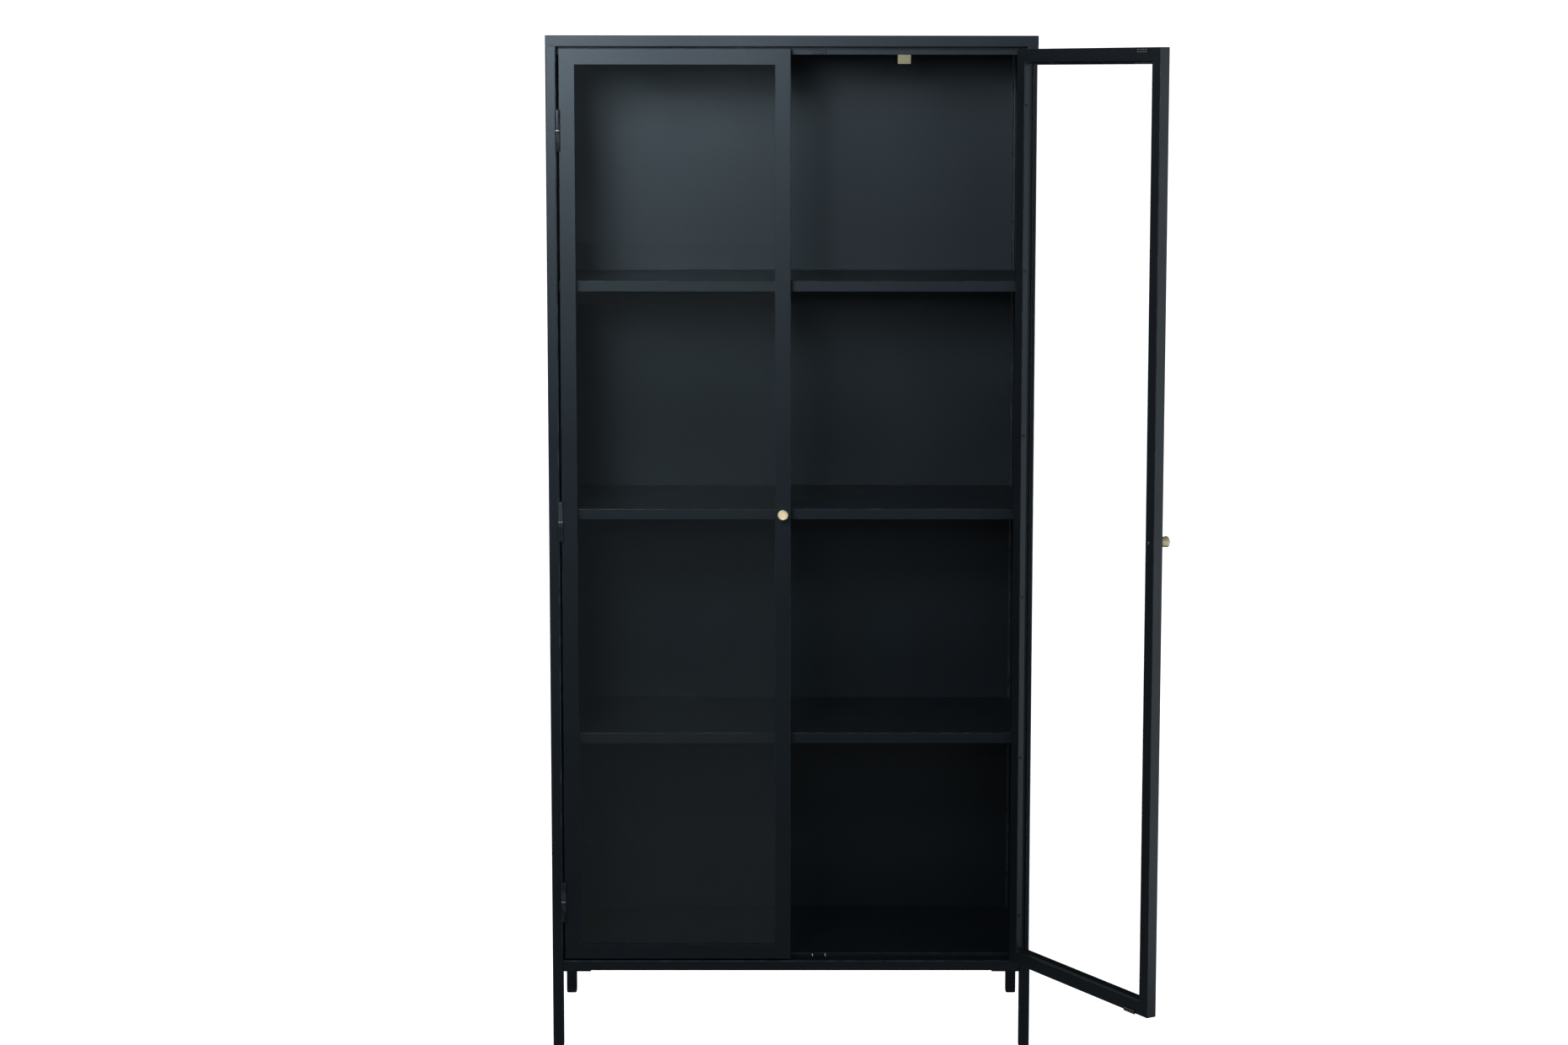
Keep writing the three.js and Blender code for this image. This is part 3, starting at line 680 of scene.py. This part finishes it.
# %% [markdown]
# ## Doors
# A door is drawn once, shut, about its hinge line: X runs from the hinge to the free edge and Y
# runs into the case. The left one is moved to its hinge. The right one is the mirror image,
# swung open by the angle in the record. Its four mitred members are welded and ground flush, so
# they are one piece here, a section carried round a rectangle with slightly rounded corners.

# %% Where the doors hang
opening = math.radians(-joints["right_door_hinge"]["range_deg"][0])
hang = {
    "left": Matrix.Translation((axis_left.x, axis_left.y, 0)),
    "right": Matrix.Translation((axis_right.x, axis_right.y, 0)) @ Matrix.Rotation(opening, 4, "Z")
    @ Matrix.Diagonal((-1, 1, 1, 1)),
}


def door_box(node):
    """A left door node's box about the hinge line."""
    shift = Vector((axis_left.x, axis_left.y, 0))
    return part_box(node)[0] - shift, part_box(node)[1] - shift


stile_low, stile_high = door_box("left_door_hinge_stile")
rail_low, rail_high = door_box("left_door_top_rail")
pane_low, pane_high = door_box("left_door_glass")
outer_low = (rail_low.x, stile_low.z)
outer_high = (rail_high.x, stile_high.z)
FACE_WIDTH = stile_high.x - stile_low.x
SECTION = pane_low.x - outer_low[0] - 0.5 * MM
FACE_WALL = pane_low.y - stile_low.y - FIT
DOOR_DEPTH = stile_high.y - stile_low.y
print("door face", [round(v / MM, 2) for v in (FACE_WIDTH, SECTION, FACE_WALL, DOOR_DEPTH)])


def hoop(section, corner_radius, low=outer_low, high=outer_high, front=stile_low.y):
    """A section, as [inward, backward] points, carried round the door."""
    rings = []
    for inward, backward in section:
        outline = rectangle((low[0] + inward, low[1] + inward), (high[0] - inward, high[1] - inward))
        flat = rounded(outline, [corner_radius] * 4, 3)
        rings.append([Vector((p[0], front + backward, p[1])) for p in flat])
    return skin(rings)


# %% Door frames, panes and glazing seals
door_section = rounded(
    [(0, 0), (FACE_WIDTH, 0), (FACE_WIDTH, FACE_WALL), (SECTION, FACE_WALL), (SECTION, DOOR_DEPTH),
     (0, DOOR_DEPTH)],
    [r * MM for r in (1.0, 0.5, 0.4, 0, 0.9, 1.0)], 3)
SEAL_REACH = 2.6 * MM
pane_back = pane_high.y - stile_low.y
SEAL_FIT = 0.05 * MM
seal_section = [(SECTION + inward, pane_back + backward * MM) for inward, backward in (
    (SEAL_FIT, 0.1), (SEAL_REACH, 0.1), (0.55 * SEAL_REACH, 0.7), (0.2 * SEAL_REACH, 1.6), (SEAL_FIT, 2.6))]
for side in ("left", "right"):
    body = f"{side}_door"
    bm = carve(hoop(door_section, 0.8 * MM), hinge_seats(0, 0))
    members = [f"{side}_door_{n}" for n in ("hinge_stile", "meeting_stile", "top_rail", "bottom_rail")]
    place(f"{side}_door_frame", body, bm, door_paint, "door_paint", members, hang[side])
    place(f"{side}_glazing_seal", body, hoop(seal_section, 0.5 * MM), seal_rubber, "foot_rubber",
          hang=hang[side], worn=False)
    outline = rectangle((pane_low.x, pane_low.z), (pane_high.x, pane_high.z))
    bm = skin([[Vector((p[0], y, p[1])) for p in outline] for y in (pane_low.y, pane_high.y)], loop=False)
    soften(bm, 0.5 * MM, 1)
    for face in bm.faces:
        face.material_index = 0 if abs(face.normal.y) > 0.99 else 1
    place(f"{side}_pane", body, bm, [pane_glass, edge_glass], "glass", [f"{side}_door_glass"], hang[side],
          worn=False)
print("panes", [round(v / MM, 1) for v in pane_high - pane_low], "mm")

# %% [markdown]
# ## Hinges
# Lift-off hinges: the lower barrel is fixed to the post and carries the pin, the upper one is
# fixed to the door and drops over it, and a bright washer between them takes the weight. All are
# turned parts, so each is a profile spun round the hinge line.

# %% Hinge barrels and washers
PIN_RADIUS = 3.0 * MM
WASHER_HALF = 1.0 * MM
PIN_TOP = 29 * MM
for side, hinge_axis in (("left", axis_left), ("right", axis_right)):
    centre = (hinge_axis.x, hinge_axis.y)
    for place_name, (low, high) in hinge_boxes.items():
        middle = (low + high) / 2
        r = barrel_radius
        crown = [(r - 1.4 * MM, 0), (r - 0.7 * MM, 0.12 * MM), (r - 0.2 * MM, 0.45 * MM), (r, 1.1 * MM)]
        lower = [(a, low + b) for a, b in crown]
        shoulder = middle - WASHER_HALF - 0.05 * MM
        lower += [(r, middle - WASHER_HALF - 0.25 * MM), (r - 0.2 * MM, shoulder), (PIN_RADIUS, shoulder),
                  (PIN_RADIUS, middle + PIN_TOP - 0.6 * MM), (PIN_RADIUS - 0.6 * MM, middle + PIN_TOP)]
        bm = turned(lower, centre=centre)
        place(f"{side}_{place_name}_hinge_post_half", "carcass", bm, hinge_paint, "hinge_paint",
              [f"hinge_lower_{place_name}_{side}"])
        inner, outer = PIN_RADIUS + 0.1 * MM, collar_radius
        ring = rounded(rectangle((inner, -WASHER_HALF), (outer, WASHER_HALF)),
                       [0, 0.35 * MM, 0.35 * MM, 0], 3)
        turns = [2 * math.pi * k / TURN_STEPS for k in range(TURN_STEPS)]
        bm = skin([[Vector((centre[0] + p[0] * math.cos(t), centre[1] + p[0] * math.sin(t), middle + p[1]))
                    for t in turns] for p in ring])
        place(f"{side}_{place_name}_hinge_washer", "carcass", bm, bright_steel, "strike_steel", worn=False,
              lay=lambda p, m=middle: (0, p.z - m))
        bore = PIN_RADIUS + FIT
        mouth = middle + WASHER_HALF + FIT
        upper = [(bore, middle + PIN_TOP + 2 * MM), (bore, mouth), (r - 0.25 * MM, mouth),
                 (r, mouth + 0.25 * MM)] + [(a, high - b) for a, b in reversed(crown)]
        place(f"{side}_{place_name}_hinge_door_half", f"{side}_door", turned(upper), hinge_paint,
              "hinge_paint", [f"{side}_hinge_upper_{place_name}"], hang[side])
print("hinges", round(barrel_length / MM), "mm long")

# %% [markdown]
# ## Knobs and their screws
# Each knob is a turned brass taper, wider at its free end, with a broad bright chamfer round a
# flat face and a short neck where it meets the door. Its screw comes through the stile from
# behind, and only the head shows.

# %% Knobs
knob_low, knob_high = door_box("left_door_knob")
knob_x, knob_z = (knob_low.x + knob_high.x) / 2, (knob_low.z + knob_high.z) / 2
knob_end = (knob_high.x - knob_low.x) / 2
KNOB_BASE = 7.8 * MM
knob_length = knob_high.y - knob_low.y
knob_profile = [
    (2.4 * MM, 12.3 * MM), (2.4 * MM, 0), (KNOB_BASE - 1.3 * MM, 0), (KNOB_BASE - 1.3 * MM, 0.7 * MM),
    (KNOB_BASE - 0.3 * MM, 0.8 * MM), (KNOB_BASE, 1.1 * MM)]
knob_profile += [(knob_end - inward * MM, knob_length - down * MM) for inward, down in (
    (0.12, 2.0), (0, 1.6), (0.1, 1.2), (0.5, 0.75), (1.4, 0.2), (2.2, 0), (2.6, 0.05), (3.0, 0.3),
    (3.3, 0.34), (3.6, 0.35))]
knob_profile.append((0.3 * MM, knob_length - 0.35 * MM))


def lathe_lay(centre_x, centre_z):
    """A map for turned work: its second coordinate follows the profile."""
    return lambda p: (0, math.hypot(p.x - centre_x, p.z - centre_z) + p.y)


for side in ("left", "right"):
    profile = [(r, knob_high.y - h) for r, h in knob_profile]
    bm = turned(profile, 64, (knob_x, knob_z), axis=1)
    place(f"{side}_brass_knob", f"{side}_door", bm, brass, "brass", [f"{side}_door_knob"], hang[side],
          worn=False, lay=lathe_lay(knob_x, knob_z))
lit_by_it = bpy.data.collections.new("knobs")
for side in ("left", "right"):
    lit_by_it.objects.link(bpy.data.objects[f"{side}_brass_knob"])
brass_light.light_linking.receiver_collection = lit_by_it
print("knob", round(2 * knob_end / MM, 1), "x", round(knob_length / MM, 1), "mm")

# %% [markdown]
# ## Strikes, catches and tag
# Magnetic catches hold the doors shut. Each catch is a moulded body with three steel pole pieces
# in its face, and each strike is a dark plate with two rows of raised steel dashes. The tag is a
# small brass plate with a raised rim, left plain. These are too small to need a rule, so
# they are made piece by piece with plain mesh code.

# %% Small blocks
def block(low, high, radius, steps=2):
    """A box with rounded edges."""
    base = [Vector((p[0], p[1], low[2])) for p in rectangle(low[:2], high[:2])]
    top = [Vector((p[0], p[1], high[2])) for p in rectangle(low[:2], high[:2])]
    return soften(skin([base, top], loop=False), radius, steps)


def gathered(parts):
    """Several shapes as one, each with its own finish number."""
    whole = bmesh.new()
    for part, finish_number in parts:
        for face in part.faces:
            face.material_index = finish_number
        mesh = bpy.data.meshes.new("part")
        part.to_mesh(mesh)
        part.free()
        whole.from_mesh(mesh)
        bpy.data.meshes.remove(mesh)
    return whole


def flat_lay(p):
    """A map for work brushed along its length."""
    return (p.x, p.z)


# %% Strikes and catches
DASH = 6.0 * MM
DASH_PITCH = 7.7 * MM
PROUD = 0.1 * MM  # of the dashes and of the poles, which face each other across a 0.3 mm gap
for end in ("top", "bottom"):
    low, high = door_box(f"left_door_strike_{end}")
    middle = (low + high) / 2
    for side in ("left", "right"):
        parts = [(block(low, high, 0.35 * MM), 0)]
        for line in (-2.0 * MM, 2.0 * MM):
            for k in range(4):
                x = middle.x + (k - 1.5) * DASH_PITCH
                dash_low = (x - DASH / 2, high.y - 0.2 * MM, middle.z + line - 0.7 * MM)
                dash_high = (x + DASH / 2, high.y + PROUD, middle.z + line + 0.7 * MM)
                parts.append((block(dash_low, dash_high, 0.15 * MM), 1))
        place(f"{side}_{end}_strike", f"{side}_door", gathered(parts), [dark_steel, bright_steel],
              "strike_steel", [f"{side}_door_strike_{end}"], hang[side], lay=flat_lay)
        node = f"catch_{end}_{side}"
        body_low, body_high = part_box(node)
        centre = (body_low + body_high) / 2
        parts = [(block(body_low, body_high, 0.5 * MM), 0)]
        for k in (-1, 0, 1):
            x = centre.x + k * 7.0 * MM
            pole_low = (x - 1.6 * MM, body_low.y - PROUD, centre.z - 1.9 * MM)
            pole_high = (x + 1.6 * MM, body_low.y + 1.0 * MM, centre.z + 1.9 * MM)
            parts.append((block(pole_low, pole_high, 0.2 * MM), 1))
        place(f"{side}_{end}_catch", "carcass", gathered(parts), [catch_plastic, pole_steel],
                  "catch_plastic", [node], lay=flat_lay)
print("strike plates", [round(v / MM, 1) for v in high - low], "mm")

# %% Tag
low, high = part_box("brass_tag")
bm = block(low, high, 0.2 * MM)
front = min(bm.faces, key=lambda f: f.calc_center_median().y)
bmesh.ops.inset_individual(bm, faces=[front], thickness=1.6 * MM, depth=0)
bmesh.ops.inset_individual(bm, faces=[front], thickness=0.3 * MM, depth=-0.35 * MM)
# The tag wears the darkened brass, so its dimness is painted shade.
place("plain_brass_tag", "carcass", bm, tag_brass, "brass", ["brass_tag"], lay=flat_lay)
print("tag", [round(v / MM, 1) for v in high - low], "mm")

# %% [markdown]
# ## What repeats: screws and weld tacks
# Rows of the same small thing are a rule, not a drawing, so Geometry Nodes place them. One tree
# shapes a domed head, cuts its cross recess, sets copies along a line and turns each by a
# random amount, as a screwdriver leaves them. The other sets out short weld beads. Each result
# is turned into a plain mesh.

# %% A row of screws
def new_row_tree(name, sizes):
    """An empty Geometry Nodes tree with named inputs for its sizes and its finish."""
    tree = bpy.data.node_groups.new(name, "GeometryNodeTree")
    for label, kind, value in sizes:
        socket = tree.interface.new_socket(label, in_out="INPUT", socket_type="NodeSocket" + kind)
        socket.default_value = value
    tree.interface.new_socket("Finish", in_out="INPUT", socket_type="NodeSocketMaterial")
    tree.interface.new_socket("Geometry", in_out="OUTPUT", socket_type="NodeSocketGeometry")
    return tree, tree.nodes.new("NodeGroupInput").outputs


def vector(tree, *parts):
    """A vector from three numbers or sockets."""
    node = tree_node(tree, "ShaderNodeCombineXYZ")
    for part, socket in zip(parts, node.inputs):
        feed(tree, part, socket)
    return node.outputs[0]


def set_in_a_row(tree, given, shape, spin_axis, least, most):
    """Copies of a shape along a line, each turned by a random angle, as plain geometry."""
    line = tree_node(tree, "GeometryNodeMeshLine", mode="OFFSET", Count=given["Count"],
                     Start_Location=given["First"], Offset=given["Step"])
    facing = tree_node(tree, "FunctionNodeEulerToRotation", Euler=given["Facing"])
    angle = tree_node(tree, "FunctionNodeRandomValue", data_type="FLOAT", Seed=given["Seed"])
    angle.inputs[2].default_value, angle.inputs[3].default_value = least, most
    spin = tree_node(tree, "FunctionNodeAxisAngleToRotation", Axis=spin_axis, Angle=angle.outputs[1])
    turned_copy = tree_node(tree, "FunctionNodeRotateRotation", rotation_space="LOCAL",
                            Rotation=facing.outputs[0], Rotate_By=spin.outputs[0])
    copies = tree_node(tree, "GeometryNodeInstanceOnPoints", Points=line.outputs[0], Instance=shape,
                       Rotation=turned_copy.outputs[0])
    plain = tree_node(tree, "GeometryNodeRealizeInstances", Geometry=copies.outputs[0])
    coat = tree_node(tree, "GeometryNodeSetMaterial", Geometry=plain.outputs[0], Material=given["Finish"])
    tree_node(tree, "NodeGroupOutput", Geometry=coat.outputs[0])


ROW_SIZES = [("Count", "Int", 6), ("First", "Vector", (0, 0, 0)), ("Step", "Vector", (0, 0, 0.1)),
             ("Facing", "Vector", (0, 0, 0)), ("Seed", "Int", 1)]
screw_row, given = new_row_tree("screw_row", ROW_SIZES + [
    ("Head Radius", "Float", 0.002), ("Head Height", "Float", 0.001), ("Recess", "Float", 0.0006)])
tree = screw_row
disc = tree_node(tree, "GeometryNodeMeshCylinder", Vertices=24, Side_Segments=1, Fill_Segments=4,
                 Radius=given["Head Radius"], Depth=given["Head Height"])
position = tree_node(tree, "GeometryNodeInputPosition").outputs[0]
spot = tree_node(tree, "ShaderNodeSeparateXYZ", Vector=position)
flat_spot = vector(tree, spot.outputs[0], spot.outputs[1], 0.0)
reach = tree_node(tree, "ShaderNodeVectorMath", operation="LENGTH", Vector=flat_spot)
rim = maths(tree, "DIVIDE", reach.outputs["Value"], given["Head Radius"])
fall = maths(tree, "SUBTRACT", 1.0, maths(tree, "MULTIPLY", rim, rim))
dome = maths(tree, "SQRT", maths(tree, "MAXIMUM", fall, 0.0))
upper = maths(tree, "GREATER_THAN", spot.outputs[2], 0.0)
lift = maths(tree, "MULTIPLY", given["Head Height"], 0.6)
rise = maths(tree, "MULTIPLY", maths(tree, "MULTIPLY", dome, upper), lift)
head = tree_node(tree, "GeometryNodeSetPosition", Geometry=disc.outputs[0],
                 Offset=vector(tree, 0.0, 0.0, rise))
cut = tree_node(tree, "GeometryNodeMeshBoolean", operation="DIFFERENCE", solver="EXACT")
tree.links.new(head.outputs[0], cut.inputs[0])
arm = maths(tree, "MULTIPLY", given["Head Radius"], 1.1)
for size in (vector(tree, arm, given["Recess"], given["Head Height"]),
             vector(tree, given["Recess"], arm, given["Head Height"])):
    bar = tree_node(tree, "GeometryNodeMeshCube", Size=size)
    sunk = tree_node(tree, "GeometryNodeTransform", Geometry=bar.outputs[0],
                     Translation=vector(tree, 0.0, 0.0, given["Head Height"]))
    tree.links.new(sunk.outputs[0], cut.inputs[1])
seat_height = maths(tree, "MULTIPLY", given["Head Height"], 0.4)
seated = tree_node(tree, "GeometryNodeTransform", Geometry=cut.outputs[0],
                   Translation=vector(tree, 0.0, 0.0, seat_height))
set_in_a_row(tree, given, seated.outputs[0], (0, 0, 1), 0.0, 2 * math.pi)

# %% A row of weld tacks
tack_row, given = new_row_tree("tack_row", ROW_SIZES + [
    ("Bead Length", "Float", 0.008), ("Bead Radius", "Float", 0.001)])
tree = tack_row
bead = tree_node(tree, "GeometryNodeMeshUVSphere", Segments=12, Rings=7, Radius=1.0)
lump = tree_node(tree, "ShaderNodeTexNoise", Scale=1.3, Detail=2.0)
swell = maths(tree, "MULTIPLY", maths(tree, "SUBTRACT", lump.outputs["Fac"], 0.5), 0.9)
normal = tree_node(tree, "GeometryNodeInputNormal").outputs[0]
outward = tree_node(tree, "ShaderNodeVectorMath", operation="SCALE", Vector=normal, Scale=swell)
shaken = tree_node(tree, "GeometryNodeSetPosition", Geometry=bead.outputs["Mesh"],
                   Offset=outward.outputs[0])
half_length = maths(tree, "MULTIPLY", given["Bead Length"], 0.5)
drawn = tree_node(tree, "GeometryNodeTransform", Geometry=shaken.outputs[0],
                  Scale=vector(tree, given["Bead Radius"], given["Bead Radius"], half_length))
smooth = tree_node(tree, "GeometryNodeSetShadeSmooth", Geometry=drawn.outputs[0])
set_in_a_row(tree, given, smooth.outputs[0], (0, 0, 1), 0.0, 2 * math.pi)


def row(tree, finish, **sizes):
    """The plain shape that a row tree makes with these sizes."""
    host = bpy.data.objects.new("row", bpy.data.meshes.new("row"))
    bpy.context.scene.collection.objects.link(host)
    rule = host.modifiers.new("row", "NODES")
    rule.node_group = tree
    sizes["Finish"] = finish
    for socket in tree.interface.items_tree:
        name = socket.name.replace(" ", "_")
        if socket.in_out == "INPUT" and name in sizes:
            rule[socket.identifier] = sizes[name]
    depsgraph = bpy.context.evaluated_depsgraph_get()
    made = bpy.data.meshes.new_from_object(host.evaluated_get(depsgraph))
    bpy.data.objects.remove(host)
    bm = bmesh.new()
    bm.from_mesh(made)
    bpy.data.meshes.remove(made)
    return bm


# %% Screws along the glazing rebates, behind the knobs and under the corner plates
GLAZING_SCREWS = 6
GLAZING_FIRST = 93 * MM
GLAZING_LAST = 102 * MM
GLAZING_DEPTH = 15 * MM
pitch = (outer_high[1] - outer_low[1] - GLAZING_FIRST - GLAZING_LAST) / (GLAZING_SCREWS - 1)
for side in ("left", "right"):
    parts = []
    for x, lean in ((outer_low[0] + SECTION, 1), (outer_high[0] - SECTION, -1)):
        parts.append((row(screw_row, screw_steel, Count=GLAZING_SCREWS, Seed=11,
                          First=(x, stile_low.y + GLAZING_DEPTH, outer_low[1] + GLAZING_FIRST),
                          Step=(0, 0, pitch), Facing=(0, lean * math.radians(90), 0),
                          Head_Radius=2.1 * MM, Head_Height=1.1 * MM, Recess=0.6 * MM), 0))
    place(f"{side}_glazing_screws", f"{side}_door", gathered(parts), hinge_paint, "screw_steel",
          hang=hang[side], worn=False)
    low, high = door_box("left_door_knob_screw")
    head = row(screw_row, screw_steel, Count=1, Seed=3, First=(knob_x, stile_high.y, knob_z),
               Step=(0, 0, 0.1), Facing=(-math.radians(90), 0, 0), Head_Radius=(high.x - low.x) / 2,
               Head_Height=1.7 * MM, Recess=1.0 * MM)
    place(f"{side}_knob_screw_head", f"{side}_door", head, screw_steel, "screw_steel",
          [f"{side}_door_knob_screw"], hang=hang[side], worn=False, lay=flat_lay)
PLATE_SCREW_INSET = 10 * MM
PLATE_SCREW_PITCH = 26 * MM
parts = []
for end in ("front", "rear"):
    for side in ("left", "right"):
        low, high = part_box(f"corner_plate_{end}_{side}")
        y = low.y + PLATE_SCREW_INSET if end == "front" else high.y - PLATE_SCREW_INSET
        x = high.x - PLATE_SCREW_INSET if side == "left" else low.x + PLATE_SCREW_INSET
        step = -PLATE_SCREW_PITCH if side == "left" else PLATE_SCREW_PITCH
        parts.append((row(screw_row, screw_steel, Count=2, Seed=5, First=(x, y, low.z), Step=(step, 0, 0),
                          Facing=(math.radians(180), 0, 0), Head_Radius=3.2 * MM, Head_Height=1.5 * MM,
                          Recess=0.9 * MM), 0))
place("corner_plate_screws", "carcass", gathered(parts), screw_steel, "screw_steel", worn=False, lay=flat_lay)
print("glazing screws every", round(pitch / MM, 1), "mm")

# %% Tacks that fix the walls to the posts
TACK_PITCH = 130 * MM
TACK_LENGTH = 9 * MM
BACK_TACK_RADIUS = 1.3 * MM
SIDE_TACK_RADIUS = 1.2 * MM


def tack_line(seed, count, first, step, radius, facing=(0.0, 0.0, 0.0)):
    """A line of tacks and its finish number."""
    return row(tack_row, frame_paint, Count=count, Seed=seed, First=first, Step=step, Facing=facing,
               Bead_Length=TACK_LENGTH, Bead_Radius=radius), 0


parts = []
back_low, back_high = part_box("back_panel")
wall_low, wall_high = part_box("side_panel_left")
tall = back_high.z - back_low.z
count = int(tall / TACK_PITCH)
start = back_low.z + (tall - (count - 1) * TACK_PITCH) / 2
up = (0, 0, TACK_PITCH)
for sign in (-1, 1):
    parts.append(tack_line(21, count, (sign * back_high.x, back_high.y, start), up, BACK_TACK_RADIUS))
    for y in (wall_low.y, wall_high.y):
        parts.append(tack_line(22, count, (sign * -wall_low.x, y, start), up, SIDE_TACK_RADIUS))
across = int((back_high.x - back_low.x) / TACK_PITCH)
first = (back_low.x + back_high.x - (across - 1) * TACK_PITCH) / 2
for z in (back_low.z, back_high.z):
    parts.append(tack_line(23, across, (first, back_high.y, z), (TACK_PITCH, 0, 0), BACK_TACK_RADIUS,
                           (0, math.radians(90), 0)))
place("wall_weld_tacks", "carcass", gathered(parts), frame_paint, "frame_paint", worn=False)
print("tacks", count, "up each edge")
